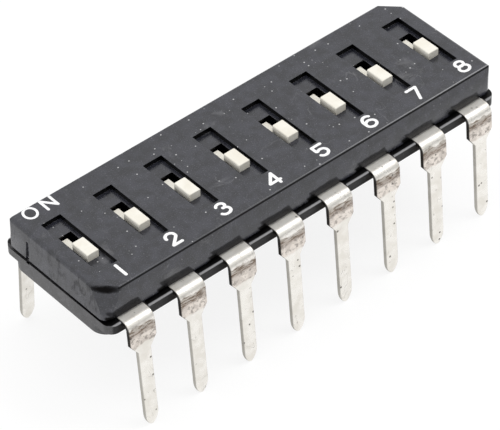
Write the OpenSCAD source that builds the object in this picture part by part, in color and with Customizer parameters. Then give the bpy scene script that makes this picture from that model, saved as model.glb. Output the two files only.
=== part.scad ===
// Slide DIP switch: a two-part moulded housing, two rows of formed terminals and one
// slide actuator with a bridging contact for each position.
// X runs along the bank from position 1 to the last position, +Y is the ON side and
// Z = 0 is the plane of the terminal tips.

/* [Bank] */
// Number of switch positions
positions = 8; // [2:1:12]
// Distance from one position to the next
pitch = 2.54; // [2.5:0.01:3.1]
// Distance between the two rows of legs, measured midway down the legs
row_spacing = 7.62; // [7.3:0.01:9.2]

/* [Cover] */
// Height of the cover from its seat on the base to the top face
cover_h = 1.41; // [1.3:0.01:1.8]
// Height above the seat at which the long walls start to lean further inward
skirt_h = 0.91; // [0.4:0.01:1.1]
// Inset of each long wall from the seat to that level
skirt_draft = 0.04; // [0.02:0.01:0.08]
// Inset of each long wall from the seat to the top face
side_draft = 0.18; // [0.1:0.01:0.24]
// Distance from an end position's centre line to the end face at the seat
end_reach = 1.26; // [1.25:0.01:1.8]
// Inset of each end wall from the seat to the top face
end_draft = 0.07; // [0.05:0.01:0.2]
// Radius along the top edge of each end wall
end_edge_r = 0.18; // [0.1:0.01:0.35]
// Radius of the upright corners at the seat
cover_corner_r = 0.45; // [0.15:0.01:0.6]
// Length of each slanted corner bevel along the top edges
bevel_leg = 0.84; // [0.5:0.01:1]
// Open gap under the cover's lower edge
seam_gap = 0.1; // [0.04:0.01:0.14]
// Depth of that gap, from the cover's face to its seat
seam_depth = 0.3; // [0.15:0.01:0.4]
// Width of the keying groove in the end wall beside position 1
key_w = 0.18; // [0.1:0.01:0.3]
// Height of the keying groove above the seat
key_h = 0.94; // [0.5:0.01:1]
// Depth of the keying groove
key_d = 0.1; // [0.05:0.01:0.15]
// Distance of the keying groove from the bank's centre line
key_y = 1.74; // [1:0.01:2.2]

/* [Recess and slot] */
// Width of the finger recess over each actuator
recess_w = 0.94; // [0.8:0.01:1.2]
// Length of the finger recess
recess_l = 3.52; // [2.8:0.01:4.2]
// Depth of the finger recess
recess_d = 0.22; // [0.15:0.01:0.35]
// Thickness of the web between the recess and the cell
web_t = 0.12; // [0.08:0.01:0.2]
// Length of the slot that the knob travels in
slot_l = 1.82; // [1.7:0.01:2.1]

/* [Cell] */
// Width of the moulded cell that guides each actuator
cell_w = 1.84; // [1.6:0.01:1.95]
// Room left beyond the detent tongue at the ON end of the travel
cell_end_gap = 0.25; // [0.1:0.01:0.3]

/* [Actuator] */
// Width of the knob
knob_w = 0.56; // [0.4:0.01:0.68]
// Length of the knob along its travel
knob_l = 0.96; // [0.8:0.01:1.1]
// Height of the knob above the cover's top face
knob_rise = 0.11; // [0:0.01:0.5]
// Radius of the knob's top edges across the travel
knob_edge_r = 0.06; // [0.02:0.01:0.12]
// Thickness of the carrier plate under the web
carrier_t = 0.35; // [0.25:0.01:0.4]
// Distance that the carrier plate runs on behind the knob
carrier_tail = 0.12; // [0.05:0.01:0.2]
// Length of the detent tongue beyond the knob
tongue_l = 0.76; // [0.5:0.01:0.85]
// Width of the detent tongue
tongue_w = 0.5; // [0.3:0.01:0.7]
// Distance from the knob's centre line to the tongue's inner edge
tongue_x = 0.065; // [0:0.01:0.2]

/* [Bridging contact] */
// Thickness of the contact spring
spring_t = 0.1; // [0.06:0.01:0.14]
// Width of the contact spring
spring_w = 1; // [0.7:0.01:1.4]
// Length of the flat middle held against the carrier
spring_flat = 0.5; // [0.3:0.01:0.7]
// Distance from the middle of the spring to the centre of each foot
foot_reach = 0.66; // [0.6:0.01:0.75]
// Outer radius of each foot
foot_r = 0.17; // [0.14:0.01:0.19]
// Width of the split between the two fingers of each arm
finger_gap = 0.24; // [0.15:0.01:0.4]

/* [Base] */
// Height of the base from its underside to the cover's seat
base_h = 0.86; // [0.75:0.01:1.3]
// Corner radius of the base
base_corner_r = 0.75; // [0.3:0.01:1]
// Distance from the edge of each side flange to the start of the bends
flange_gap = 0.01; // [0:0.01:0.1]
// Width of the ledge that each flange shows beyond the cover
flange_ledge = 0.23; // [0.15:0.01:0.35]
// Reach of each flange beyond the base below it
flange_reach = 0.38; // [0.2:0.01:0.5]
// Thickness of the side flanges
flange_t = 0.46; // [0.3:0.01:0.5]
// Corner radius of the flanges
flange_corner_r = 0.45; // [0.2:0.01:0.7]
// Chamfer on the flanges' outer top edges
flange_chamfer = 0.05; // [0.02:0.01:0.08]
// Diameter of the locating pegs
peg_d = 0.4; // [0.3:0.01:0.5]
// Height of the locating pegs above the seat
peg_h = 0.45; // [0.3:0.01:0.6]

/* [Terminals] */
// Width of the strip and of the shoulder
strip_w = 1.28; // [1:0.01:1.6]
// Thickness of the stock
strip_t = 0.2; // [0.15:0.01:0.25]
// Height from the tip to the top of the strip
lead_drop = 5.46; // [4.5:0.01:6.8]
// Inner radius of the bend
bend_r = 0.18; // [0.08:0.01:0.25]
// Height from the top of the strip to the end of the full-width shoulder
shoulder_h = 1.2; // [0.9:0.01:1.5]
// Height of the taper from the shoulder to the leg
taper_h = 0.3; // [0.15:0.01:0.5]
// Width of the leg
leg_w = 0.63; // [0.4:0.01:0.8]
// Outward lean of the legs, in degrees
splay = 4; // [0:0.5:4]
// Height of the rounded tip
tip_h = 0.42; // [0.2:0.01:0.6]
// Thickness of the coined tip
tip_t = 0.1; // [0.06:0.01:0.15]
// Width of the locking neck in the strip
neck_w = 0.8; // [0.5:0.01:0.9]
// Length of the locking neck
neck_l = 0.3; // [0.2:0.01:0.4]
// Width of the contact pad
pad_w = 1.1; // [0.9:0.01:1.25]
// Length of pad left inboard of a foot that rests on it
foot_lap = 0.3; // [0.2:0.01:0.4]

/* [Fits] */
// Gap at each side of a sliding piece
slide_gap = 0.03; // [0.02:0.01:0.05]
// Gap at each side of the knob in its slot
knob_gap = 0.02; // [0.02:0.01:0.04]
// Gap between a terminal and the walls of its channel
channel_gap = 0.04; // [0.02:0.01:0.06]
// Gap around a locating peg
peg_gap = 0.02; // [0.01:0.01:0.05]

/* [Hidden] */
$fn = 48;
// Overshoot of the cutting shapes
e = 0.01;

// Levels: the cover seats on the base and on the strips, which lie flush in its top
seat_z = lead_drop;
strip_z = seat_z - strip_t;
top_z = seat_z + cover_h;
floor_z = top_z - recess_d;
web_z = floor_z - web_t;
base_z = seat_z - base_h;
carrier_z = web_z - slide_gap - carrier_t;
foot_z = seat_z + slide_gap;

// Terminals
leg_slope = sin(splay);
bend_z = strip_z - bend_r;
mid_drop = bend_z - (lead_drop - shoulder_h - taper_h) / 2;
bend_y = row_spacing / 2 - (bend_r + strip_t / 2) * cos(splay) - mid_drop * tan(splay);
leg_l = (bend_z + (bend_r + strip_t / 2 - tip_t / 2) * leg_slope) / cos(splay);

// Plan sizes
flange_w = 2 * (bend_y - flange_gap);
cover_w = flange_w - 2 * flange_ledge;
base_w = flange_w - 2 * flange_reach;
cover_l = (positions - 1) * pitch + 2 * end_reach;
cover_top_w = cover_w - 2 * side_draft;
cover_skirt_w = cover_w - 2 * skirt_draft;
cover_top_l = cover_l - 2 * end_draft;
cover_skirt_l = cover_l - 2 * end_draft * skirt_h / cover_h;
slot_w = knob_w + 2 * knob_gap;
travel = slot_l - knob_l - 2 * slide_gap;
rest_y = -travel / 2;
carrier_w = cell_w - 2 * slide_gap;
cell_l = travel + knob_l + 2 * (tongue_l + cell_end_gap);
// Middle of the long walls' seat, where the necks and the locating pegs stand
seat_y = (cell_l + cover_w) / 4;
near_pad_y = foot_reach - travel / 2 - foot_lap;
far_pad_y = foot_reach + travel / 2 - foot_lap;

function position_x(n) = (n - (positions + 1) / 2) * pitch;

// ---- Shared shapes ----

// Lays an X-Z outline along Y, centred on the bank
module along_y(length) {
    rotate([90, 0, 0])
        linear_extrude(length, center = true)
            children();
}

// Lays a Y-Z outline along X, centred on the bank
module along_x(length) {
    rotate([90, 0, 90])
        linear_extrude(length, center = true)
            children();
}

module rounded_rectangle(length, width, radius) {
    square([length - 2 * radius, width], center = true);
    square([length, width - 2 * radius], center = true);
    for (x = [-1, 1], y = [-1, 1])
        translate([x * (length / 2 - radius), y * (width / 2 - radius)])
            circle(radius);
}

// Block with its middle at the origin in plan and its underside at height z
module plate(length, width, z, height) {
    translate([-length / 2, -width / 2, z])
        cube([length, width, height]);
}

// ---- Cover ----

// Outline of a drafted wall pair: wide at the seat, narrow at the top face
module drafted_outline(seat_width, skirt_width, top_width) {
    polygon([
        [-seat_width / 2, seat_z],
        [seat_width / 2, seat_z],
        [skirt_width / 2, seat_z + skirt_h],
        [top_width / 2, top_z],
        [-top_width / 2, top_z],
        [-skirt_width / 2, seat_z + skirt_h]
    ]);
}

// What the rounded top edge of an end wall takes off, tangent to both faces
module end_edge_waste() {
    lean = atan(end_draft / cover_h);
    run = end_edge_r * tan((90 - lean) / 2);
    corner_x = cover_top_l / 2;
    centre = [corner_x - run, top_z - end_edge_r];
    difference() {
        polygon([
            [corner_x - run, top_z + e],
            [corner_x + e, top_z + e],
            [corner_x + run * sin(lean) + e, top_z - run * cos(lean)],
            centre
        ]);
        translate(centre)
            circle(end_edge_r);
    }
}

module cover_block() {
    intersection() {
        along_y(cover_w)
            difference() {
                drafted_outline(cover_l, cover_skirt_l, cover_top_l);
                end_edge_waste();
                mirror([1, 0])
                    end_edge_waste();
            }
        along_x(cover_l)
            drafted_outline(cover_w, cover_skirt_w, cover_top_w);
        translate([0, 0, seat_z])
            linear_extrude(cover_h)
                rounded_rectangle(cover_l, cover_w, cover_corner_r);
    }
}

// Open rebate around the foot of the cover, which leaves the shadow line of the seam
module seam_rebate() {
    difference() {
        plate(cover_l + 2 * e, cover_w + 2 * e, seat_z - e, seam_gap + e);
        plate(cover_l - 2 * seam_depth, cover_w - 2 * seam_depth, seat_z - 2 * e, seam_gap + 4 * e);
    }
}

// Slanted plane across the corner at +X +Y that runs out at the seat
module corner_bevel() {
    top_reach = (cover_top_l / 2 + cover_top_w / 2 - bevel_leg) / sqrt(2);
    seat_reach = (cover_l / 2 + cover_w / 2) / sqrt(2);
    outside = seat_reach + bevel_leg;
    rotate([0, 0, 45])
        along_y(cover_l)
            polygon([
                [top_reach, top_z],
                [seat_reach, seat_z],
                [outside, seat_z],
                [outside, top_z + e],
                [top_reach, top_z + e]
            ]);
}

// Finger recess, knob slot and guide cell of one position
module position_cut() {
    plate(recess_w, recess_l, floor_z, recess_d + e);
    plate(slot_w, slot_l, web_z - e, web_t + 2 * e);
    plate(cell_w, cell_l, seat_z - e, web_z - seat_z + e);
}

module key_groove(z, height) {
    translate([-cover_l / 2 - e, key_y - key_w / 2, z])
        cube([key_d + e, key_w, height]);
}

// Centres of the locating pegs, between the outermost pairs of positions
module at_pegs() {
    for (n = [1, positions - 1], side = [-1, 1])
        translate([position_x(n + 0.5), side * seat_y, seat_z])
            children();
}

module cover() {
    color([0.33, 0.33, 0.35])
        difference() {
            cover_block();
            for (turn = [0, 180])
                rotate([0, 0, turn])
                    corner_bevel();
            for (n = [1:positions])
                translate([position_x(n), 0, 0])
                    position_cut();
            seam_rebate();
            key_groove(seat_z - e, key_h + e);
            at_pegs()
                translate([0, 0, -e])
                    cylinder(d = peg_d + 2 * peg_gap, h = peg_h + peg_gap + e);
        }
}

// ---- Base ----

// Flanges with a narrow chamfer along their outer top edges
module flange_outline() {
    half = flange_w / 2;
    polygon([
        [-half, seat_z - flange_t],
        [half, seat_z - flange_t],
        [half, seat_z - flange_chamfer],
        [half - flange_chamfer, seat_z],
        [flange_chamfer - half, seat_z],
        [-half, seat_z - flange_chamfer]
    ]);
}

module base_block() {
    translate([0, 0, base_z])
        linear_extrude(base_h)
            rounded_rectangle(cover_l, base_w, base_corner_r);
    intersection() {
        along_x(cover_l)
            flange_outline();
        translate([0, 0, base_z])
            linear_extrude(base_h)
                rounded_rectangle(cover_l, flange_w, flange_corner_r);
    }
    at_pegs()
        translate([0, 0, -e])
            cylinder(d = peg_d, h = peg_h + e);
}

// Channel for the terminal on the +Y side, open at the top and through the flange
module channel(pad_y) {
    translate([0, 0, strip_z])
        linear_extrude(strip_t + e)
            strip_outline(pad_y, channel_gap);
}

module base() {
    color([0.22, 0.22, 0.24])
        difference() {
            base_block();
            for (n = [1:positions])
                translate([position_x(n), 0, 0]) {
                    channel(far_pad_y);
                    mirror([0, 1, 0])
                        channel(near_pad_y);
                }
            key_groove(seat_z - flange_t / 2, flange_t);
        }
}

// ---- Actuators ----

// Knob outline across the travel, with its two top edges rounded
module knob_outline() {
    knob_h = top_z + knob_rise - carrier_z;
    translate([0, carrier_z + knob_h / 2])
        difference() {
            square([knob_w, knob_h], center = true);
            for (side = [-1, 1])
                translate([side * (knob_w / 2 - knob_edge_r), knob_h / 2 - knob_edge_r])
                    difference() {
                        translate([side * knob_edge_r, knob_edge_r])
                            square(2 * knob_edge_r, center = true);
                        circle(knob_edge_r);
                    }
        }
}

module slider(n) {
    color([0.96, 0.94, 0.88])
        translate([position_x(n), rest_y, 0]) {
            along_y(knob_l)
                knob_outline();
            translate([-carrier_w / 2, -knob_l / 2 - carrier_tail, carrier_z])
                cube([carrier_w, knob_l + carrier_tail, carrier_t]);
            translate([tongue_x - tongue_w, 0, carrier_z])
                cube([tongue_w, knob_l / 2 + tongue_l, carrier_t]);
        }
}

// Side view of one half of the spring: flat, sloping arm and round foot
module spring_half() {
    foot_centre = [foot_reach, foot_z + foot_r];
    arm_l = norm([foot_reach - spring_flat / 2, carrier_z - foot_centre.y]);
    arm_angle = asin((foot_r - spring_t) / arm_l);
    drop_angle = atan2(carrier_z - foot_centre.y, foot_reach - spring_flat / 2);
    translate([0, carrier_z - spring_t])
        square([spring_flat / 2, spring_t]);
    translate([spring_flat / 2, carrier_z])
        rotate(-drop_angle + arm_angle)
            translate([0, -spring_t])
                square([arm_l, spring_t]);
    translate([spring_flat / 2, carrier_z])
        intersection() {
            circle(spring_t);
            translate([-spring_t, -spring_t])
                square([2 * spring_t, spring_t]);
        }
    translate(foot_centre)
        difference() {
            circle(foot_r);
            circle(foot_r - spring_t);
        }
}

module wiper(n) {
    split_l = foot_reach + foot_r - spring_flat / 2;
    color([0.78, 0.62, 0.34])
        translate([position_x(n), rest_y, 0])
            difference() {
                along_x(spring_w) {
                    spring_half();
                    mirror([1, 0])
                        spring_half();
                }
                for (side = [-1, 1])
                    translate([0, side * (spring_flat + split_l + e) / 2, 0])
                        plate(finger_gap, split_l + e, foot_z - e, carrier_z - foot_z + 2 * e);
            }
}

// ---- Terminals ----

// Plan of the flat strip on the +Y side: contact pad, locking neck and outer strip
module strip_outline(pad_y, grow) {
    neck_in = seat_y - neck_l / 2;
    neck_out = seat_y + neck_l / 2;
    translate([-pad_w / 2 - grow, pad_y - grow])
        square([pad_w + 2 * grow, neck_in - pad_y + 2 * grow]);
    translate([-neck_w / 2 - grow, neck_in])
        square([neck_w + 2 * grow, neck_l]);
    translate([-strip_w / 2 - grow, neck_out - grow])
        square([strip_w + 2 * grow, bend_y - neck_out + grow]);
}

// Ring sector that turns the strip down into the leg, with a short straight lap at each end
module bend_outline() {
    reach = bend_r + strip_t + e;
    difference() {
        circle(bend_r + strip_t);
        circle(bend_r);
        translate([-reach, -reach])
            square([reach, 2 * reach]);
        rotate(splay)
            translate([-reach, -reach])
                square([2 * reach, reach]);
    }
    translate([-e, bend_r])
        square([e, strip_t]);
    rotate(splay)
        translate([bend_r, -e])
            square([strip_t, e]);
}

// Front view of the shoulder, taper and leg, hanging down from the bend
module leg_outline() {
    shoulder_l = shoulder_h - strip_t - bend_r;
    tip_y = tip_h - leg_l;
    polygon(concat(
        [[-strip_w / 2, 0], [-strip_w / 2, -shoulder_l], [-leg_w / 2, -shoulder_l - taper_h]],
        [for (a = [180:15:360]) [leg_w / 2 * cos(a), tip_y + tip_h * sin(a)]],
        [[leg_w / 2, -shoulder_l - taper_h], [strip_w / 2, -shoulder_l], [strip_w / 2, 0]]
    ));
}

// Side view of the leg, coined thinner at the tip
module leg_side() {
    middle = bend_r + strip_t / 2;
    polygon([
        [bend_r, 0],
        [bend_r, tip_h - leg_l],
        [middle - tip_t / 2, -leg_l],
        [middle + tip_t / 2, -leg_l],
        [bend_r + strip_t, tip_h - leg_l],
        [bend_r + strip_t, 0]
    ]);
}

module formed_terminal(pad_y) {
    translate([0, 0, strip_z])
        linear_extrude(strip_t)
            strip_outline(pad_y, 0);
    translate([0, bend_y, bend_z]) {
        along_x(strip_w)
            bend_outline();
        rotate([splay, 0, 0])
            intersection() {
                translate([0, bend_r + strip_t / 2, 0])
                    along_y(strip_t + 2 * e)
                        leg_outline();
                along_x(strip_w + 2 * e)
                    leg_side();
            }
    }
}

// Terminals count along the near row and back along the far row
module terminal(n) {
    near_row = n <= positions;
    x = near_row ? position_x(n) : position_x(2 * positions + 1 - n);
    color([0.82, 0.81, 0.79])
        translate([x, 0, 0])
            mirror([0, near_row ? 1 : 0, 0])
                formed_terminal(near_row ? near_pad_y : far_pad_y);
}

base();
cover();
for (n = [1:positions]) {
    slider(n);
    wiper(n);
}
for (n = [1:2 * positions])
    terminal(n);
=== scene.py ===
"""Looks of an eight-way slide DIP switch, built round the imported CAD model.

X runs along the bank from position 1 to position 8, +Y is the ON side and Z = 0 is the
plane of the terminal tips. Lengths are written in millimetres and made metres by MM.
"""

import math

import bmesh
import bpy
import numpy as np
from mathutils import Matrix, Vector


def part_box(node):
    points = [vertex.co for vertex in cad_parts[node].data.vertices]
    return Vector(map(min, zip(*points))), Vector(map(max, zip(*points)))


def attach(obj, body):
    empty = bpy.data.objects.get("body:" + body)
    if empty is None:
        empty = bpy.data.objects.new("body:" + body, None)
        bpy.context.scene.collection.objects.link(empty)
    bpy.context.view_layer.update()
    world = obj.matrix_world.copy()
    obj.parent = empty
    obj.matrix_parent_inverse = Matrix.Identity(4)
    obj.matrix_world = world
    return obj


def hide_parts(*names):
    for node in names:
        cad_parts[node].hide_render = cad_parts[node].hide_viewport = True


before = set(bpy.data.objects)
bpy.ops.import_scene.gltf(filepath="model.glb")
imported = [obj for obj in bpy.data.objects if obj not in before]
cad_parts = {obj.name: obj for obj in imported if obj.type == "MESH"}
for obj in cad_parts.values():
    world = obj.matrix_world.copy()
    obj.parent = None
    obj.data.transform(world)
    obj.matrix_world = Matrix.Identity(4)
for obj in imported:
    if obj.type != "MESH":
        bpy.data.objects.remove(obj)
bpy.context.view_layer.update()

MM = 0.001
POSITIONS = 8

# ---- Sizes from the frame and of the mouldings, in millimetres ----


def box_mm(node_name):
    """Lowest and highest corner of a CAD node as two arrays in millimetres."""
    low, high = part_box(node_name)
    return np.array(low) / MM, np.array(high) / MM


SLOT_X = [float(sum(box_mm(f"slider_{n}"))[0] / 2) for n in range(1, POSITIONS + 1)]
PITCH = SLOT_X[1] - SLOT_X[0]
END_X = float(box_mm("cover")[0][0])
WALL_Y = float(box_mm("cover")[1][1])
FLANGE_Y = float(box_mm("base")[1][1])
TOP_Z = float(box_mm("cover")[1][2])
COVER_H = 1.41
SEAT_Z = TOP_Z - COVER_H
TOP_EDGE_Y = 2.894
RIM_R = 0.03
KNOB_R = 0.035
KEY_Y = 1.74
KEY_REACH = 0.12
END_LEAN = 0.055


# ---- Camera ----

LENS = 232.6
CAMERA_STAND = (-61.458, -73.589, 91.425)
CAMERA_AIM = (0.691, 1.245, 1.512)
CAMERA_TIP = math.radians(-1.657)


def place_camera():
    """Long lens looking down on the near row from the position 1 end, tipped a little."""
    camera = bpy.data.objects.new("camera", bpy.data.cameras.new("camera"))
    bpy.context.scene.collection.objects.link(camera)
    camera.data.sensor_width = 36
    camera.data.lens = LENS
    camera.data.clip_start = 0.01
    camera.data.clip_end = 20
    stand = Vector(CAMERA_STAND) * MM
    aim = Vector(CAMERA_AIM) * MM
    look = (aim - stand).to_track_quat("-Z", "Y").to_matrix().to_4x4()
    camera.matrix_world = Matrix.Translation(stand) @ look @ Matrix.Rotation(CAMERA_TIP, 4, "Z")
    bpy.context.scene.camera = camera


# ---- Node helpers ----


def set_inputs(tree, sockets, values):
    """Gives each named input its value, which is a number, a colour or a socket to link."""
    for key, value in values.items():
        if isinstance(value, bpy.types.NodeSocket):
            tree.links.new(value, sockets[key])
        else:
            sockets[key].default_value = value


def node(tree, kind, values=None, **settings):
    """One node: settings are its own properties, values its inputs."""
    made = tree.nodes.new(kind)
    for key, value in settings.items():
        setattr(made, key, value)
    set_inputs(tree, made.inputs, values or {})
    return made


def maths(tree, operation, a, b=0.0):
    """One Math node of two values."""
    return node(tree, "ShaderNodeMath", {0: a, 1: b}, operation=operation).outputs[0]


def chain(tree, operation, parts):
    """The operation carried along a row of values, from left to right."""
    total = parts[0]
    for part in parts[1:]:
        total = maths(tree, operation, total, part)
    return total


def times(tree, *parts):
    """Product of the values."""
    return chain(tree, "MULTIPLY", parts)


def plus(tree, *parts):
    """Sum of the values."""
    return chain(tree, "ADD", parts)


def minus(tree, a, b):
    """a less b."""
    return maths(tree, "SUBTRACT", a, b)


def most(tree, *parts):
    """The largest of the values."""
    return chain(tree, "MAXIMUM", parts)


def unsigned(tree, value):
    """The value without its sign."""
    return maths(tree, "ABSOLUTE", value)


def split(tree, vector):
    """The x, y and z of a vector."""
    return node(tree, "ShaderNodeSeparateXYZ", {0: vector}).outputs


def blend_colour(tree, share, a, b):
    """Colour a where share is 0 and b where it is 1."""
    mix = node(tree, "ShaderNodeMix", {0: share, 6: a, 7: b}, data_type="RGBA")
    return mix.outputs[2]


def tint(tree, body, mask, colour, strength=1.0):
    """The body colour with another laid over it, as far as mask times strength goes."""
    return blend_colour(tree, times(tree, mask, strength), body, colour)


def step(tree, value, low, high, at_low=0.0, at_high=1.0):
    """Smooth step of value from low to high."""
    made = node(
        tree,
        "ShaderNodeMapRange",
        {"Value": value, "From Min": low, "From Max": high, "To Min": at_low, "To Max": at_high},
        interpolation_type="SMOOTHSTEP",
    )
    return made.outputs[0]


def between(tree, value, low, high, soft):
    """1 where value lies from low to high, with soft edges of the given width."""
    rise = step(tree, value, low - soft / 2, low + soft / 2)
    return times(tree, rise, step(tree, value, high + soft / 2, high - soft / 2))


def noise(tree, place, scale, detail=2.0, roughness=0.5, distortion=0.0):
    """Noise from 0 to 1 with scale cells to the millimetre."""
    values = {"Vector": place, "Scale": scale, "Detail": detail}
    values.update({"Roughness": roughness, "Distortion": distortion})
    return node(tree, "ShaderNodeTexNoise", values).outputs["Fac"]


def stretched(tree, place, scale, turn=(0, 0, 0)):
    """Coordinates turned and stretched by a Mapping node."""
    values = {"Vector": place, "Rotation": turn, "Scale": scale}
    return node(tree, "ShaderNodeMapping", values).outputs[0]


def effect_group(name, **starts):
    """Empty shader node group with a Place input and one number input for each start value.

    Returns its tree, the inputs node's sockets and the outputs node's sockets, which fill up as
    outlet() adds them.
    """
    tree = bpy.data.node_groups.new(name, "ShaderNodeTree")
    tree.interface.new_socket("Place", in_out="INPUT", socket_type="NodeSocketVector")
    for label, start in starts.items():
        socket = tree.interface.new_socket(label, in_out="INPUT", socket_type="NodeSocketFloat")
        socket.default_value = start
    return tree, tree.nodes.new("NodeGroupInput").outputs, tree.nodes.new("NodeGroupOutput").inputs


def outlet(tree, sockets, label, value):
    """Adds a number output to a node group and links a value to it."""
    tree.interface.new_socket(label, in_out="OUTPUT", socket_type="NodeSocketFloat")
    tree.links.new(value, sockets[label])


def use(tree, group, place, **values):
    """Places a shared effect in a material and returns its outputs."""
    made = node(tree, "ShaderNodeGroup", node_tree=group)
    set_inputs(tree, made.inputs, {"Place": place, **values})
    return made.outputs


# ---- Shared effects ----


def grain_effect():
    """Fine skin of a moulding or a rolled strip.

    Height is a noise at the grain size, Tone one ten times wider.
    """
    tree, given, out = effect_group("grain", Size=0.05)
    rate = maths(tree, "DIVIDE", 1.0, given["Size"])
    outlet(tree, out, "Height", noise(tree, given["Place"], rate, detail=3.0, roughness=0.65))
    outlet(tree, out, "Tone", noise(tree, given["Place"], times(tree, rate, 0.1), detail=3.0))
    return tree


def speck_effect():
    """Scattered dots: each Voronoi cell whose random number is below Share holds one dot."""
    tree, given, out = effect_group("specks", Spacing=0.5, Radius=0.04, Share=0.3)
    rate = maths(tree, "DIVIDE", 1.0, given["Spacing"])
    cells = node(tree, "ShaderNodeTexVoronoi", {"Vector": given["Place"], "Scale": rate})
    reach = maths(tree, "DIVIDE", given["Radius"], given["Spacing"])
    away = cells.outputs["Distance"]
    dot = step(tree, away, times(tree, reach, 1.2), times(tree, reach, 0.6))
    random = node(tree, "ShaderNodeSeparateColor", {0: cells.outputs["Color"]}).outputs[0]
    chosen = maths(tree, "LESS_THAN", random, given["Share"])
    outlet(tree, out, "Mask", times(tree, dot, chosen))
    return tree


def smear_effect():
    """Soft patches: a distorted noise kept only above 0.75 less half of Cover."""
    tree, given, out = effect_group("smears", Size=1.0, Cover=0.3)
    rate = maths(tree, "DIVIDE", 1.0, given["Size"])
    patch = noise(tree, given["Place"], rate, detail=5.0, roughness=0.6, distortion=0.6)
    level = minus(tree, 0.75, times(tree, given["Cover"], 0.5))
    outlet(tree, out, "Mask", step(tree, patch, level, plus(tree, level, 0.12)))
    return tree


def scratch_effect():
    """Hair lines: where a stretched, bent noise crosses one half, broken up by a second noise."""
    tree, given, out = effect_group("scratches", Spacing=0.6, Width=0.02, Share=0.4)
    rate = maths(tree, "DIVIDE", 1.0, given["Spacing"])
    lengthwise = stretched(tree, given["Place"], (1, 0.35, 0.6), (0.3, 0.2, 0.7))
    field = noise(tree, lengthwise, rate, detail=1.5, distortion=0.8)
    hair = step(tree, unsigned(tree, minus(tree, field, 0.5)), given["Width"], 0.0)
    patch = noise(tree, given["Place"], times(tree, rate, 0.7), detail=1.0)
    level = minus(tree, 0.72, times(tree, given["Share"], 0.45))
    shown = step(tree, patch, level, plus(tree, level, 0.08))
    outlet(tree, out, "Mask", times(tree, hair, shown))
    return tree


GRAIN = grain_effect()
SPECKS = speck_effect()
SMEARS = smear_effect()
SCRATCHES = scratch_effect()


# ---- Materials ----


def new_material(name):
    """Material with a Principled shader; returns it, its tree, the shader and the place in mm."""
    material = bpy.data.materials.new(name)
    material.use_nodes = True
    tree = material.node_tree
    tree.nodes.clear()
    shader = node(tree, "ShaderNodeBsdfPrincipled")
    output = node(tree, "ShaderNodeOutputMaterial")
    tree.links.new(shader.outputs[0], output.inputs["Surface"])
    spot = node(tree, "ShaderNodeTexCoord").outputs["Object"]
    scaled = node(tree, "ShaderNodeVectorMath", {0: spot, "Scale": 1 / MM}, operation="SCALE")
    return material, tree, shader, scaled.outputs[0]


def feed(tree, shader, **values):
    """Sets or links the shader's inputs; an underscore in a name stands for a space."""
    named = {label.replace("_", " "): value for label, value in values.items()}
    set_inputs(tree, shader.inputs, named)


def bump(tree, height, depth_mm):
    """Normal of a height field of the given depth."""
    values = {"Height": height, "Distance": depth_mm * MM, "Strength": 1.0}
    return node(tree, "ShaderNodeBump", values).outputs[0]


def srgb(red, green, blue, alpha=1.0):
    """Screen colour, 0 to 255, as the linear colour that a shader takes."""
    value = np.array([red, green, blue]) / 255
    linear = np.where(value <= 0.04045, value / 12.92, ((value + 0.055) / 1.055) ** 2.4)
    return (*linear.tolist(), alpha)


def two_tone(tree, skin, one, other):
    """A body colour that drifts between two along the skin's wide noise."""
    return blend_colour(tree, step(tree, skin["Tone"], 0.3, 0.7), one, other)


def moulded_black(name, dark, light, flecks, dust, gloss, ior, painted_light_and_scuffs):
    """Near-black moulding: fine grain, slow tone changes, grey flecks, smears, dust, hair lines.

    dark and light are its two tones, flecks the strength of its grey flecks, dust the share of
    places with a dust speck and gloss its least roughness. The function given last takes the
    tree, the place and the facing, and gives a mask of painted shade and one of painted highlight.
    The painted shade is a surface with no mirror left: black, and metallic so that its black is
    also the colour of its shine; on the cover that mask also holds scuffs.
    """
    material, tree, shader, place = new_material(name)
    facing = split(tree, node(tree, "ShaderNodeNewGeometry").outputs["True Normal"])
    skin = use(tree, GRAIN, place, Size=0.045)
    body = two_tone(tree, skin, dark, light)
    body = tint(tree, body, step(tree, skin["Height"], 0.56, 0.76), srgb(125, 125, 134), flecks)
    smear = use(tree, SMEARS, place, Size=1.3, Cover=0.28)["Mask"]
    body = tint(tree, body, smear, srgb(122, 122, 124), 0.3)
    specks = use(tree, SPECKS, place, Spacing=0.3, Radius=0.036, Share=dust)["Mask"]
    lying = step(tree, facing[2], 0.3, 0.8, 0.12, 0.75)
    body = tint(tree, body, specks, srgb(205, 205, 205), lying)
    hair = use(tree, SCRATCHES, place, Spacing=0.9, Width=0.007, Share=0.35)["Mask"]
    body = tint(tree, body, hair, srgb(165, 165, 168), 0.14)
    dead, painted_highlight = painted_light_and_scuffs(tree, place, facing)
    # Painted highlight, then painted shade (with the cover's scuffs), which also takes the mirror
    # away through Metallic
    body = tint(tree, body, painted_highlight, srgb(160, 160, 162))
    body = tint(tree, body, dead, srgb(20, 19, 19))
    rough = step(tree, skin["Tone"], 0.25, 0.75, gloss, gloss + 0.05)
    feed(
        tree,
        shader,
        Base_Color=body,
        Roughness=plus(tree, rough, times(tree, smear, 0.08)),
        Metallic=dead,
        Normal=bump(tree, skin["Height"], 0.006),
        IOR=ior,
    )
    return material


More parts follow.
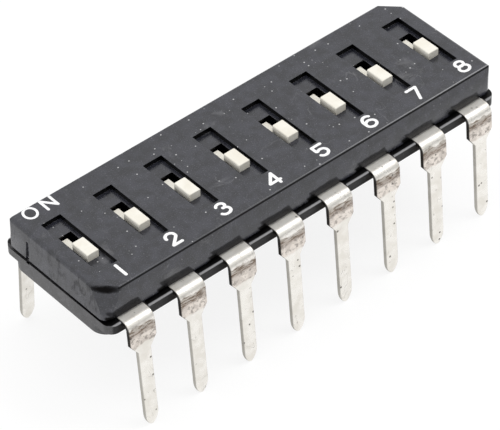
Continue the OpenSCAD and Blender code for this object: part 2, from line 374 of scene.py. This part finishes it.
def terminal_patches(tree, place, upright):
    """A slanted patch of painted shade on the long walls over each terminal, with a blacker heel.

    A patch is where (x from the middle of the gap between positions) + 0.55 (height over the
    seat) lies between two values, below 0.5 mm, all made wavy by a noise.
    """
    x, y, z = split(tree, place)
    wave = times(tree, minus(tree, noise(tree, place, 2.2, detail=3.0), 0.5), 0.16)
    share_of_pitch = maths(tree, "FRACT", maths(tree, "DIVIDE", x, PITCH))
    across = times(tree, minus(tree, share_of_pitch, 0.5), PITCH)
    slant = times(tree, minus(tree, z, SEAT_Z + 0.04), 0.55)
    leaning = plus(tree, across, wave, slant)
    up = plus(tree, minus(tree, z, SEAT_Z), wave)
    patch = times(
        tree, between(tree, leaning, -0.86, 0.62, 0.1), between(tree, up, -0.06, 0.5, 0.09)
    )
    heel = times(
        tree, between(tree, leaning, -1.12, -0.7, 0.12), between(tree, up, -0.06, 0.3, 0.1)
    )
    long_wall = step(tree, unsigned(tree, y), WALL_Y - 0.22, WALL_Y - 0.12)
    return times(tree, most(tree, times(tree, patch, 0.76), heel), upright, long_wall)


def painted_corner_reflection(tree, place, facing):
    """Painted dark reflection: a soft dark oval across the top of the cut corner near position 1.

    It is where (along / 0.92)^2 + (drop / 0.13)^2 is small. along is x less y from the corner's
    middle, and drop is the height from the oval's middle, made ragged by a noise.
    """
    x, y, z = split(tree, place)
    along = minus(tree, minus(tree, x, END_X + 0.485), plus(tree, y, TOP_EDGE_Y - 0.42))
    ragged = times(tree, minus(tree, noise(tree, place, 3.2, detail=3.0, roughness=0.6), 0.5), 0.2)
    drop = plus(tree, minus(tree, z, TOP_Z - 0.135), ragged)
    squares = [
        maths(tree, "POWER", maths(tree, "DIVIDE", unsigned(tree, off), reach), 2.0)
        for off, reach in ((along, 0.92), (drop, 0.13))
    ]
    corner = times(tree, step(tree, x, END_X + 1.045, END_X + 0.945), step(tree, y, -1.9, -2.0))
    slanted = step(tree, facing[2], 0.95, 0.85)
    return times(tree, step(tree, plus(tree, *squares), 1.7, 0.1), corner, slanted)


def cover_painted_light_and_scuffs(tree, place, facing):
    """Masks of painted shade and of painted rim highlight for the cover.

    Painted shade, black with no mirror, lies on the recess walls and over the terminals; a painted
    dark reflection lies in a line under the long rims and on the cut corner; faint scuffs lie on
    the position 1 end. The painted rim highlight grows towards position 8.
    """
    x, y, z = split(tree, place)
    wide = unsigned(tree, y)
    depth = minus(tree, TOP_Z, z)
    upright = step(tree, unsigned(tree, facing[2]), 0.8, 0.5)
    inside = times(
        tree,
        step(tree, wide, 2.1, 2.0),
        step(tree, unsigned(tree, x), -END_X - 0.445, -END_X - 0.545),
    )
    # Painted shade on the recess walls
    recess = times(tree, upright, inside, between(tree, depth, 0.01, 0.47, 0.02), 0.93)
    # Painted shade over each terminal
    patches = terminal_patches(tree, place, upright)
    side = step(tree, wide, TOP_EDGE_Y - 0.034, TOP_EDGE_Y - 0.014)
    # Painted dark reflection: a black line just under the long top rims
    under_rim = times(tree, between(tree, depth, 0.038, 0.12, 0.02), side, 0.9)
    # Painted dark reflection on the cut corner near position 1
    dark_corner_reflection = painted_corner_reflection(tree, place, facing)
    swept = stretched(tree, place, (1, 2.4, 1), (0.6, 0, 0))
    scuff = step(tree, noise(tree, swept, 1.6, detail=4.0, roughness=0.65), 0.5, 0.62)
    fade = step(tree, y, 2.2, -1.5, 0.2, 0.5)
    scuff = times(tree, scuff, fade, step(tree, facing[0], -0.7, -0.9))
    # Painted highlight along the long top rims, stronger towards position 8
    rim = times(
        tree,
        step(tree, depth, 0.035, 0.02),
        step(tree, wide, TOP_EDGE_Y - 0.032, TOP_EDGE_Y - 0.022),
        step(tree, x, -4.0, 9.0, 0.12, 0.7),
    )
    return most(tree, recess, patches, under_rim, dark_corner_reflection, scuff), rim


def base_painted_light(tree, place, facing):
    """Painted shade on the flange's long faces and on the level seat, and a painted highlight on
    the flange's upper edge.
    """
    _, y, z = split(tree, place)
    wide = unsigned(tree, y)
    depth = minus(tree, SEAT_Z, z)
    long_side = step(tree, wide, FLANGE_Y - 0.104, FLANGE_Y - 0.044)
    # Painted shade on the flange's long faces
    face = times(tree, long_side, step(tree, depth, 0.04, 0.08), 0.72)
    level = step(tree, facing[2], 0.7, 0.9)
    # Painted shade on the level seat
    seat = times(tree, level, step(tree, wide, FLANGE_Y - 0.064, FLANGE_Y - 0.124), 0.9)
    # Painted highlight on the flange's upper edge
    painted_highlight = times(tree, long_side, step(tree, depth, 0.07, 0.03), 0.75)
    return plus(tree, face, seat), painted_highlight


def moulded_ivory():
    """Ivory actuator moulding: soft sheen, faint warm patches and a few grey marks."""
    material, tree, shader, place = new_material("ivory_moulding")
    skin = use(tree, GRAIN, place, Size=0.06)
    body = two_tone(tree, skin, srgb(240, 237, 227), srgb(232, 227, 214))
    marks = use(tree, SPECKS, place, Spacing=0.4, Radius=0.02, Share=0.2)["Mask"]
    feed(
        tree,
        shader,
        Base_Color=tint(tree, body, marks, srgb(150, 140, 125), 0.4),
        Roughness=step(tree, skin["Tone"], 0.3, 0.7, 0.36, 0.46),
        Normal=bump(tree, skin["Height"], 0.002),
    )
    return material


def tin_plate():
    """Tinned strip: bright bend, brown heat stain under it, scuffed shoulder, pale leg, painted
    shade on the upper cut edges.

    down is the distance in millimetres from the bend's start, and ragged the same with the skin's
    wide noise added, so that each band has a wavy end. The cut edges carry painted shade, near
    black, to the shoulder's end and are grey below it.
    """
    material, tree, shader, place = new_material("tin_plate")
    down = split(tree, node(tree, "ShaderNodeUVMap", uv_map="strip").outputs[0])[1]
    edge = node(tree, "ShaderNodeAttribute", attribute_name="cut_edge").outputs["Fac"]
    skin = use(tree, GRAIN, place, Size=0.05)
    ragged = plus(tree, down, times(tree, minus(tree, skin["Tone"], 0.5), 0.35))
    flat = step(tree, down, 0.1, -0.05)
    bend = times(tree, step(tree, down, 0.1, 0.2), step(tree, ragged, 0.4, 0.32))
    below_bend = times(tree, step(tree, ragged, 0.36, 0.42), step(tree, ragged, 0.9, 0.66))
    shoulder = times(tree, step(tree, ragged, 0.5, 0.62), step(tree, ragged, 1.36, 1.26))

    plate = two_tone(tree, skin, srgb(244, 241, 235), srgb(232, 228, 220))
    plate = tint(tree, plate, shoulder, srgb(234, 224, 215), 0.75)
    patch = use(tree, SMEARS, place, Size=0.45, Cover=0.6)["Mask"]
    plate = tint(tree, plate, times(tree, shoulder, patch), srgb(166, 157, 150), 0.35)
    streaks = noise(tree, stretched(tree, place, (1.2, 1, 6.0)), 2.4, detail=4.0, roughness=0.6)
    scorch = plus(tree, times(tree, step(tree, streaks, 0.46, 0.6), 0.45), 0.45)
    plate = tint(tree, plate, below_bend, srgb(94, 72, 50), scorch)
    mottle = step(tree, noise(tree, place, 5.0, detail=4.0, roughness=0.7), 0.5, 0.64)
    plate = tint(tree, plate, times(tree, mottle, shoulder), srgb(122, 114, 108), 0.65)
    worn = step(tree, noise(tree, place, 0.9, detail=1.0), 0.46, 0.56)
    pits = use(tree, SPECKS, place, Spacing=0.3, Radius=0.055, Share=0.52)["Mask"]
    pits = times(tree, pits, plus(tree, times(tree, worn, 0.75), 0.25))
    plate = tint(tree, plate, pits, srgb(78, 72, 66), 0.85)
    hair = use(tree, SCRATCHES, place, Spacing=0.5, Width=0.012, Share=0.35)["Mask"]
    plate = tint(tree, plate, hair, srgb(120, 112, 104), 0.35)
    # Painted shade: near-black cut edges down to the shoulder's end
    high_edge = times(tree, edge, step(tree, down, 1.55, 1.35))
    plate = tint(tree, plate, high_edge, srgb(38, 34, 31))
    low_edge = times(tree, edge, step(tree, down, 1.35, 1.55))
    plate = tint(tree, plate, low_edge, srgb(168, 165, 158), 0.85)

    rough = plus(
        tree,
        step(tree, skin["Tone"], 0.3, 0.7, 0.24, 0.36),
        times(tree, shoulder, 0.12),
        times(tree, edge, 0.2),
        times(tree, flat, 0.08),
    )
    metal = minus(tree, minus(tree, 1.0, times(tree, flat, 0.65)), times(tree, bend, 0.6))
    height = minus(tree, skin["Height"], plus(tree, pits, hair))
    relief = bump(tree, height, 0.005)
    feed(tree, shader, Base_Color=plate, Roughness=rough, Metallic=metal, Normal=relief)
    return material


def spring_bronze():
    """Gold-flashed spring strip with a light rub where it bears."""
    material, tree, shader, place = new_material("spring_bronze")
    skin = use(tree, GRAIN, place, Size=0.04)
    body = two_tone(tree, skin, srgb(214, 176, 104), srgb(190, 148, 84))
    hair = use(tree, SCRATCHES, place, Spacing=0.3, Width=0.015, Share=0.5)["Mask"]
    feed(
        tree,
        shader,
        Base_Color=tint(tree, body, hair, srgb(236, 212, 160), 0.4),
        Roughness=step(tree, skin["Tone"], 0.3, 0.7, 0.25, 0.4),
        Metallic=1.0,
        Normal=bump(tree, skin["Height"], 0.003),
    )
    return material


def marking_ink():
    """White marking ink, a little thin in places."""
    material, tree, shader, place = new_material("marking_ink")
    skin = use(tree, GRAIN, place, Size=0.05)
    thin = step(tree, skin["Height"], 0.42, 0.7)
    feed(
        tree,
        shader,
        Base_Color=blend_colour(tree, thin, srgb(255, 255, 255), srgb(232, 233, 234)),
        Roughness=step(tree, skin["Tone"], 0.3, 0.7, 0.5, 0.65),
        Normal=bump(tree, skin["Height"], 0.004),
    )
    return material


# ---- Mesh helpers ----

WELD_REACH = 1e-4


def link_piece(name, mesh, body, material, nodes=()):
    """Puts a finished mesh in the scene as one piece of the object."""
    piece = bpy.data.objects.new(name, mesh)
    bpy.context.scene.collection.objects.link(piece)
    mesh.materials.clear()
    mesh.materials.append(material)
    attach(piece, body)
    if nodes:
        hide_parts(*nodes)
    return piece


def weld_and_face_out(mesh):
    """Merges doubled points, then turns every face outwards."""
    shell = bmesh.new()
    shell.from_mesh(mesh)
    bmesh.ops.remove_doubles(shell, verts=shell.verts, dist=WELD_REACH * MM)
    bmesh.ops.recalc_face_normals(shell, faces=shell.faces)
    shell.to_mesh(mesh)
    shell.free()


def merged_copy(node_name, piece_name):
    """Mesh of a CAD node with doubles merged and flat faces joined, ready for a corner radius."""
    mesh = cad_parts[node_name].data.copy()
    mesh.name = piece_name
    shell = bmesh.new()
    shell.from_mesh(mesh)
    bmesh.ops.remove_doubles(shell, verts=shell.verts, dist=2 * WELD_REACH * MM)
    flat = math.radians(0.5)
    bmesh.ops.dissolve_limit(
        shell, angle_limit=flat, verts=shell.verts, edges=shell.edges, delimit=set()
    )
    for face in shell.faces:
        face.smooth = True
    shell.to_mesh(mesh)
    shell.free()
    if mesh.has_custom_normals:
        mesh.attributes.remove(mesh.attributes["custom_normal"])
    return mesh


def round_corners(piece, edge_mm):
    """Rounds every edge that turns by more than 25 degrees to the given radius."""
    bevel = piece.modifiers.new("corner_radius", "BEVEL")
    bevel.width = edge_mm * MM
    bevel.segments = 3
    bevel.limit_method = "ANGLE"
    bevel.angle_limit = math.radians(25)
    bevel.harden_normals = True


def grid_mesh(name, points):
    """Closed tube over a grid of points: rows along the path, columns round the profile."""
    rows, columns = points.shape[:2]
    left = np.arange(rows * columns).reshape(rows, columns)
    right = np.roll(left, -1, axis=1)
    quads = np.stack([left[:-1], right[:-1], right[1:], left[1:]], axis=-1).reshape(-1, 4)
    mesh = bpy.data.meshes.new(name)
    mesh.from_pydata(points.reshape(-1, 3) * MM, [], quads)
    mesh.update()
    mesh.shade_smooth()
    return mesh


# ---- Mouldings ----


def points_of(mesh):
    """The mesh's points as an array in millimetres."""
    points = np.empty(len(mesh.vertices) * 3, np.float32)
    mesh.vertices.foreach_get("co", points)
    return points.reshape(-1, 3).astype(float) / MM


def set_points(mesh, points):
    """Gives the mesh its points back, from millimetres."""
    mesh.vertices.foreach_set("co", (points * MM).ravel().astype(np.float32))
    mesh.update()


def cover_mesh():
    """The cover with its key end leaning in and its key groove 0.015 mm shallower.

    The end moves in by END_LEAN at the top and by nothing at the seat, evenly between them,
    and the shift fades out from 0.45 mm to 0.95 mm inside the end. Only the outside moves.
    """
    mesh = merged_copy("cover", "cover_moulding")
    points = points_of(mesh)
    x, y, z = points.T
    inset = x - END_X
    groove = (np.abs(y - KEY_Y) < KEY_REACH) & (inset > 0.06) & (inset < 0.2) & (z < TOP_Z - 0.17)
    outer = (inset < 0.16) | (np.abs(y) > 2.5)
    height = np.clip((z - SEAT_Z) / COVER_H, 0, 1)
    lean = END_LEAN * outer * np.clip((0.95 - inset) / 0.5, 0, 1) * height
    points[:, 0] += lean - 0.015 * groove
    set_points(mesh, points)
    return mesh


def base_mesh():
    """The base with a short key notch and a seam that opens towards +Y at the position 1 end.

    The notch's foot is 0.13 mm below the seat, and the flange's outer rim there drops by
    0.03 mm plus 0.06 mm times its way towards +Y.
    """
    mesh = merged_copy("base", "base_moulding")
    points = points_of(mesh)
    x, y, z = points.T
    depth = SEAT_Z - z
    foot = (np.abs(y - KEY_Y) < KEY_REACH) & (x < END_X + 0.2) & (depth < 0.3) & (depth > 0.1)
    rim = (depth < 0.07) & (x < END_X + 0.07)
    points[:, 2] = np.where(foot, SEAT_Z - 0.13, z)
    points[:, 2] -= rim * (0.03 + 0.06 * np.clip((y + 1.5) / 4, 0, 1))
    set_points(mesh, points)
    return mesh


# ---- Terminals ----

STRIP_T = 0.2
STRIP_W = 1.28
PAD_W = 1.1
NECK_W = 0.8
NECK_L = 0.3
NECK_Y = 2.482
BEND_R = 0.18
ROW_SPACING = 7.62
SHOULDER_H = 1.2
TAPER_LEAD = 0.08
TAPER_H = 0.46
LEG_W = 0.63
SPLAY = math.radians(4.0)
TIP_H = 0.6
TIP_T = 0.1
TIP_HALF_W = 0.004
TIP_POWER = 0.58
EDGE_R = 0.035
BOARD_Z = 3.96


def terminal_rows(pad_y, seat_z):
    """Stations along the strip's middle line, from the pad's inner end to the tip.

    Each row is (y, z, lean, half width, half thickness, distance down from the bend's start).
    The line is straight, then a quarter turn of radius bend + half the stock, then straight
    with the splay. The leg narrows by a straight taper. With c rising from 0 to 1 along the tip,
    its width is the leg's times (1 - c^2)^0.58 and its thickness falls evenly to the coin's.
    """
    half_t = STRIP_T / 2
    mid_r = BEND_R + half_t
    strip_z = seat_z - half_t
    bend_z = seat_z - STRIP_T - BEND_R
    mid_drop = bend_z - BOARD_Z / 2
    bend_y = ROW_SPACING / 2 - mid_r * math.cos(SPLAY) - mid_drop * math.tan(SPLAY)
    rows = []
    neck_in, neck_out = NECK_Y - NECK_L / 2, NECK_Y + NECK_L / 2
    flat = [(pad_y, PAD_W), (pad_y + EDGE_R, PAD_W), (neck_in - EDGE_R, PAD_W), (neck_in, PAD_W)]
    flat += [(neck_in, NECK_W), (neck_out, NECK_W)]
    flat += [(neck_out, STRIP_W), (neck_out + EDGE_R, STRIP_W)]
    flat += [(y, STRIP_W) for y in np.linspace(neck_out + 0.12, bend_y - 0.04, 8)]
    for y, width in flat:
        rows.append((y, strip_z, 0.0, width / 2, half_t, y - bend_y))
    lean = math.pi / 2 - SPLAY
    for turn in np.linspace(0, lean, 15):
        y = bend_y + mid_r * math.sin(turn)
        z = bend_z + mid_r * math.cos(turn)
        rows.append((y, z, turn, STRIP_W / 2, half_t, mid_r * turn))
    start_y = bend_y + mid_r * math.cos(SPLAY)
    start_z = bend_z + mid_r * math.sin(SPLAY)
    turn_l = mid_r * lean
    leg_l = (start_z - TIP_T / 2 * math.sin(SPLAY)) / math.cos(SPLAY)
    lead_in = mid_r * math.sin(SPLAY)
    shoulder_l = SHOULDER_H - TAPER_LEAD - STRIP_T - BEND_R + lead_in
    tip_start = leg_l - TIP_H
    stations = np.concatenate(
        [
            np.linspace(0.03, shoulder_l, 12),
            shoulder_l + TAPER_H * np.linspace(0, 1, 11)[1:],
            np.linspace(shoulder_l + TAPER_H, tip_start, 30)[1:],
            tip_start + TIP_H * np.sin(np.linspace(0, math.pi / 2, 17)[1:]),
        ]
    )
    for s in stations:
        taper = np.clip((s - shoulder_l) / TAPER_H, 0, 1)
        coin = np.clip((s - tip_start) / TIP_H, 0, 1)
        width = (STRIP_W + (LEG_W - STRIP_W) * taper) * max(1 - coin * coin, 0.0) ** TIP_POWER
        half_w = max(width / 2, TIP_HALF_W)
        half_thick = half_t + (TIP_T / 2 - half_t) * coin
        y = start_y + s * math.sin(SPLAY)
        z = start_z - s * math.cos(SPLAY)
        rows.append((y, z, lean, half_w, half_thick, turn_l + s))
    return np.array(rows)


def rounded_section(half_w, half_t, radius):
    """Rounded rectangle for each row: straight faces and quarter circles of the given radius.

    Returns across and through offsets with one column per point, and a 0 to 1 mark that is 1 on
    the two cut edges. The radius never passes the half width or half thickness.
    """
    r = np.minimum(np.minimum(radius, half_w * 0.98), half_t * 0.98)[:, None]
    hw, ht = half_w[:, None], half_t[:, None]
    turn = np.linspace(0, math.pi / 2, 5)[None, :]
    across, through, mark = [], [], []
    corners = [(1, 1), (-1, 1), (-1, -1), (1, -1)]
    starts = [0, math.pi / 2, math.pi, 3 * math.pi / 2]
    share = np.linspace(0, 1, 8)[1:-1][None, :]
    for i, ((sx, sz), start) in enumerate(zip(corners, starts)):
        across.append(sx * (hw - r) + r * np.cos(turn + start))
        through.append(sz * (ht - r) + r * np.sin(turn + start))
        mark.append(np.cos(turn + start) ** 2 + 0 * hw)
        nx, nz = corners[(i + 1) % 4]
        on_edge = i % 2
        reach_x, reach_z = hw - r * (1 - on_edge), ht - r * on_edge
        across.append(reach_x * (sx + (nx - sx) * share))
        through.append(reach_z * (sz + (nz - sz) * share))
        mark.append(on_edge + 0 * hw + 0 * share)
    return np.hstack(across), np.hstack(through), np.hstack(mark)


def terminal_mesh(name, x, side, pad_y, seat_z):
    """Rounded strip section carried along the terminal's middle line.

    point = line(s) + across * X + through * normal(s), where normal turns with the bend. The
    cut_edge attribute marks the cut edges, and the strip UV holds across and down.
    """
    rows = terminal_rows(pad_y, seat_z)
    y, z, lean, half_w, half_t, down = rows.T
    across, through, mark = rounded_section(half_w, half_t, EDGE_R)
    out = y[:, None] + through * np.sin(lean)[:, None]
    up = z[:, None] + through * np.cos(lean)[:, None]
    points = np.stack([x + across, side * out, up], axis=-1)
    cap_in = np.broadcast_to(points[0].mean(0), points[0].shape)[None]
    cap_out = np.broadcast_to(points[-1].mean(0), points[-1].shape)[None]
    points = np.concatenate([cap_in, points, cap_out])
    across, mark, down = (np.concatenate([v[:1], v, v[-1:]]) for v in (across, mark, down))
    mesh = grid_mesh(name, points)
    cut = mesh.attributes.new("cut_edge", "FLOAT", "POINT")
    cut.data.foreach_set("value", mark.ravel().astype(np.float32))
    corner = np.zeros(len(mesh.loops), np.int32)
    mesh.loops.foreach_get("vertex_index", corner)
    uv = np.stack([across.ravel(), np.repeat(down, points.shape[1])], axis=-1)[corner]
    layer = mesh.uv_layers.new(name="strip")
    layer.data.foreach_set("uv", uv.ravel().astype(np.float32))
    weld_and_face_out(mesh)
    return mesh


def make_terminals(material):
    """Sixteen formed terminals: 1 to 8 along the near row, 9 to 16 back along the far row."""
    for n in range(1, 2 * POSITIONS + 1):
        low, high = box_mm(f"terminal_{n}")
        side = -1 if n <= POSITIONS else 1
        x = float((low[0] + high[0]) / 2)
        inner = float(-high[1] if side < 0 else low[1])
        mesh = terminal_mesh(f"lead_{n}", x, side, inner, float(high[2]))
        link_piece(f"lead_{n}", mesh, "housing", material, [f"terminal_{n}"])


# ---- Markings ----

NUMBER_SHIFT = 0.27
NUMBER_Y = -2.226
NUMBER_CREEP = 0.005
NUMBER_HALF_STROKE = 0.069
WORD_ON = [("O", (-9.253, 2.565), 0.056), ("N", (-8.352, 2.564), 0.062)]
INK_RISE = 0.012
INK_STEP = 0.02
INK_MARGIN = 0.01


def arc(cx, cy, rx, ry, start, end, count=24):
    """Points on an ellipse: (cx + rx cos t, cy + ry sin t) from start to end in degrees."""
    t = np.radians(np.linspace(start, end, count))
    return np.stack([cx + rx * np.cos(t), cy + ry * np.sin(t)], axis=-1)


def line(*ends):
    """A broken line through the given points."""
    return np.array(ends, float)


def glyph_strokes():
    """Middle lines of the characters' strokes, in millimetres about each character's centre."""
    two = np.concatenate([arc(0.0, 0.13, 0.215, 0.2, 185, -25), line((-0.2, -0.315))])
    three_top = arc(-0.01, 0.17, 0.19, 0.155, 160, -80)
    three_low = arc(-0.01, -0.145, 0.23, 0.185, 85, -160)
    five_bowl = arc(-0.02, -0.125, 0.225, 0.2, 135, -150)
    five = np.concatenate([line((-0.235, 0.33), (-0.235, 0.04)), five_bowl])
    six_bowl = arc(0.0, -0.13, 0.235, 0.2, 180, 540, 48)
    six = np.concatenate([arc(0.02, 0.03, 0.26, 0.3, 50, 180), six_bowl])
    return {
        "1": [line((-0.03, 0.31), (-0.03, -0.335))],
        "2": [two, line((-0.2, -0.325), (0.21, -0.325))],
        "3": [three_top, three_low],
        "4": [
            line((0.14, 0.31), (-0.27, -0.17)),
            line((-0.27, -0.18), (0.24, -0.18)),
            line((0.14, 0.31), (0.14, -0.325)),
        ],
        "5": [line((-0.235, 0.33), (0.2, 0.33)), five],
        "6": [six],
        "7": [line((-0.23, 0.34), (0.24, 0.34)), line((0.24, 0.34), (-0.05, -0.32))],
        "8": [arc(0.0, 0.18, 0.19, 0.16, 0, 360, 36), arc(0.0, -0.14, 0.235, 0.19, 0, 360, 36)],
        "O": [arc(0.0, 0.0, 0.272, 0.31, 0, 360, 48)],
        "N": [
            line((-0.235, -0.3), (-0.235, 0.3)),
            line((-0.235, 0.3), (0.235, -0.3)),
            line((0.235, -0.3), (0.235, 0.3)),
        ],
    }


def resampled(path):
    """The same line with points at equal steps of about INK_STEP along its length."""
    gap = np.linalg.norm(np.diff(path, axis=0), axis=1)
    path = path[np.concatenate([[True], gap > 1e-9])]
    length = np.concatenate([[0], np.cumsum(np.linalg.norm(np.diff(path, axis=0), axis=1))])
    count = max(int(length[-1] / INK_STEP), 2) + 1
    at = np.linspace(0, length[-1], count)
    return np.stack([np.interp(at, length, path[:, i]) for i in range(2)], axis=-1)


def stroke_points(path, half_w, centre):
    """A flat bead of ink carried along the stroke, with round ends.

    Width at distance s from an end is half_w * sqrt(1 - (1 - s / half_w)^2) up to half_w, so the
    ends are half circles. The profile is an ellipse, half sunk in the face, and it stops at the
    far edge and drops by RIM_R - sqrt(RIM_R^2 - past^2) over that edge's rounding.
    """
    line_points = resampled(path)
    tangent = np.gradient(line_points, axis=0)
    tangent /= np.linalg.norm(tangent, axis=1)[:, None]
    ease = half_w * (1 - np.cos(np.linspace(0, math.pi / 2, 6)))
    head = line_points[0] - tangent[0] * (half_w - ease[:-1, None])
    tail = line_points[-1] + tangent[-1] * (half_w - ease[:-1, None])[::-1]
    middle = np.concatenate([head, line_points, tail])
    lead = np.concatenate([np.repeat(tangent[:1], 5, 0), tangent, np.repeat(tangent[-1:], 5, 0)])
    swell = half_w * np.sqrt(1 - (1 - ease[:-1] / half_w) ** 2)
    width = np.concatenate([swell, np.full(len(line_points), half_w), swell[::-1]])
    turn = np.linspace(0, 2 * math.pi, 13)[:-1]
    side = np.stack([lead[:, 1], -lead[:, 0]], axis=-1)
    plan = middle[:, None] + side[:, None] * (width[:, None] * np.cos(turn))[..., None]
    lift = INK_RISE * np.sin(turn)[None, :] * np.minimum(width / half_w, 1)[:, None]
    points = np.empty(plan.shape[:2] + (3,))
    points[..., :2] = plan + centre
    points[..., 1] = np.minimum(points[..., 1], TOP_EDGE_Y - INK_MARGIN)
    past = np.clip(points[..., 1] - (TOP_EDGE_Y - RIM_R), 0, RIM_R)
    points[..., 2] = TOP_Z + lift - (RIM_R - np.sqrt(RIM_R**2 - past**2))
    return points


def make_marks(material):
    """ON beside the far edge and the numbers 1 to 8 beside the near edge."""
    strokes = glyph_strokes()
    places = []
    for n, slot_x in enumerate(SLOT_X, 1):
        centre = (slot_x + NUMBER_SHIFT, NUMBER_Y - NUMBER_CREEP * n)
        places.append((str(n), centre, NUMBER_HALF_STROKE))
    for text, centre, half_w in places + WORD_ON:
        shell = bmesh.new()
        for path in strokes[text]:
            part = grid_mesh("stroke", stroke_points(path, half_w, np.array(centre)))
            shell.from_mesh(part)
            bpy.data.meshes.remove(part)
        mesh = bpy.data.meshes.new(f"mark_{text}")
        shell.to_mesh(mesh)
        shell.free()
        weld_and_face_out(mesh)
        mesh.shade_smooth()
        link_piece(f"mark_{text}", mesh, "housing", material)


# ---- Studio ----

FLOOR_BOUNCE = 0.8
FLOOR_SHADE = 0.2
FLOOR_GLOW = 0.82
SKY_LEVEL = 1.05
DARK_LEVEL = 0.06
DARK_SIDE = (0.6, -0.8, 0.0)
DARK_SPREAD = (0.42, 0.62)
DARK_HEIGHT = (0.5, 0.34)
FLOOR_REACH = 1.5
FLOOR_Z = -1e-5
LAMP_PLACE = (0.22, -0.16, 0.48)
LAMP_SIZE = 0.2
LAMP_POWER = 0.55


def grey(level):
    """A grey of the given linear level."""
    return (level, level, level, 1)


def make_floor():
    """Plain floor that shows as near white and bounces light as a pale card would.

    Seen by the camera or in a mirror it is a dim card with a glow, which keeps the shadow.
    """
    mesh = bpy.data.meshes.new("floor")
    signs = [(-1, -1), (1, -1), (1, 1), (-1, 1)]
    corners = [(sx * FLOOR_REACH, sy * FLOOR_REACH, FLOOR_Z) for sx, sy in signs]
    mesh.from_pydata(corners, [], [(0, 1, 2, 3)])
    floor = bpy.data.objects.new("floor", mesh)
    bpy.context.scene.collection.objects.link(floor)
    material = bpy.data.materials.new("floor_card")
    material.use_nodes = True
    tree = material.node_tree
    tree.nodes.clear()
    rays = node(tree, "ShaderNodeLightPath").outputs
    seen = most(tree, rays["Is Camera Ray"], rays["Is Glossy Ray"])
    bounce = node(tree, "ShaderNodeBsdfDiffuse", {"Color": grey(FLOOR_BOUNCE)})
    card = node(tree, "ShaderNodeBsdfDiffuse", {"Color": grey(FLOOR_SHADE)})
    glow = node(tree, "ShaderNodeEmission", {"Color": grey(1), "Strength": FLOOR_GLOW})
    shown = node(tree, "ShaderNodeAddShader", {0: card.outputs[0], 1: glow.outputs[0]})
    mixed = {0: seen, 1: bounce.outputs[0], 2: shown.outputs[0]}
    either = node(tree, "ShaderNodeMixShader", mixed)
    node(tree, "ShaderNodeOutputMaterial", {"Surface": either.outputs[0]})
    mesh.materials.append(material)


def make_surround():
    """Pale surround, white to the camera, with a dark part low down at the front right."""
    world = bpy.data.worlds.new("surround")
    bpy.context.scene.world = world
    world.use_nodes = True
    tree = world.node_tree
    tree.nodes.clear()
    way = node(tree, "ShaderNodeTexCoord").outputs["Generated"]
    towards = node(tree, "ShaderNodeVectorMath", {0: way, 1: DARK_SIDE}, operation="DOT_PRODUCT")
    spread = step(tree, towards.outputs["Value"], *DARK_SPREAD)
    dark = times(tree, spread, step(tree, split(tree, way)[2], *DARK_HEIGHT))
    level = node(tree, "ShaderNodeMix", {0: dark, 2: SKY_LEVEL, 3: DARK_LEVEL}).outputs[0]
    camera_ray = node(tree, "ShaderNodeLightPath").outputs["Is Camera Ray"]
    strength = node(tree, "ShaderNodeMix", {0: camera_ray, 2: level, 3: 1.0}).outputs[0]
    back = node(tree, "ShaderNodeBackground", {"Color": grey(1), "Strength": strength})
    node(tree, "ShaderNodeOutputWorld", {"Surface": back.outputs[0]})


def make_lamp():
    """One soft square lamp above the front right, aimed at the middle."""
    data = bpy.data.lights.new("key_lamp", "AREA")
    data.shape = "RECTANGLE"
    data.size = data.size_y = LAMP_SIZE
    data.energy = LAMP_POWER
    lamp = bpy.data.objects.new("key_lamp", data)
    bpy.context.scene.collection.objects.link(lamp)
    lamp.location = LAMP_PLACE
    lamp.rotation_mode = "QUATERNION"
    lamp.rotation_quaternion = (-Vector(LAMP_PLACE)).to_track_quat("-Z", "Y")


# ---- Assembly ----

bpy.context.scene.view_settings.view_transform = "Standard"
place_camera()

cover_black = moulded_black(
    "charcoal_cover",
    dark=srgb(24, 25, 32),
    light=srgb(44, 45, 54),
    flecks=0.5,
    dust=0.42,
    gloss=0.08,
    ior=1.64,
    painted_light_and_scuffs=cover_painted_light_and_scuffs,
)
base_black = moulded_black(
    "charcoal_base",
    dark=srgb(28, 27, 28),
    light=srgb(54, 53, 55),
    flecks=0.95,
    dust=0.12,
    gloss=0.4,
    ior=1.7,
    painted_light_and_scuffs=base_painted_light,
)
ivory = moulded_ivory()
tin = tin_plate()
bronze = spring_bronze()
ink = marking_ink()

shells = (("cover", cover_mesh(), cover_black), ("base", base_mesh(), base_black))
for part, mesh, material in shells:
    slot = f"{part}_moulding"
    shell = link_piece(slot, mesh, "housing", material, [part])
    round_corners(shell, RIM_R)
for n in range(1, POSITIONS + 1):
    body = f"actuator_{n}"
    slider = f"slider_{n}"
    mesh = merged_copy(slider, body)
    name = f"actuator_moulding_{n}"
    knob = link_piece(name, mesh, body, ivory, [slider])
    round_corners(knob, KNOB_R)
    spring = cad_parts[f"wiper_{n}"]
    spring.data.materials.clear()
    spring.data.materials.append(bronze)
make_terminals(tin)
make_marks(ink)
make_floor()
make_surround()
make_lamp()
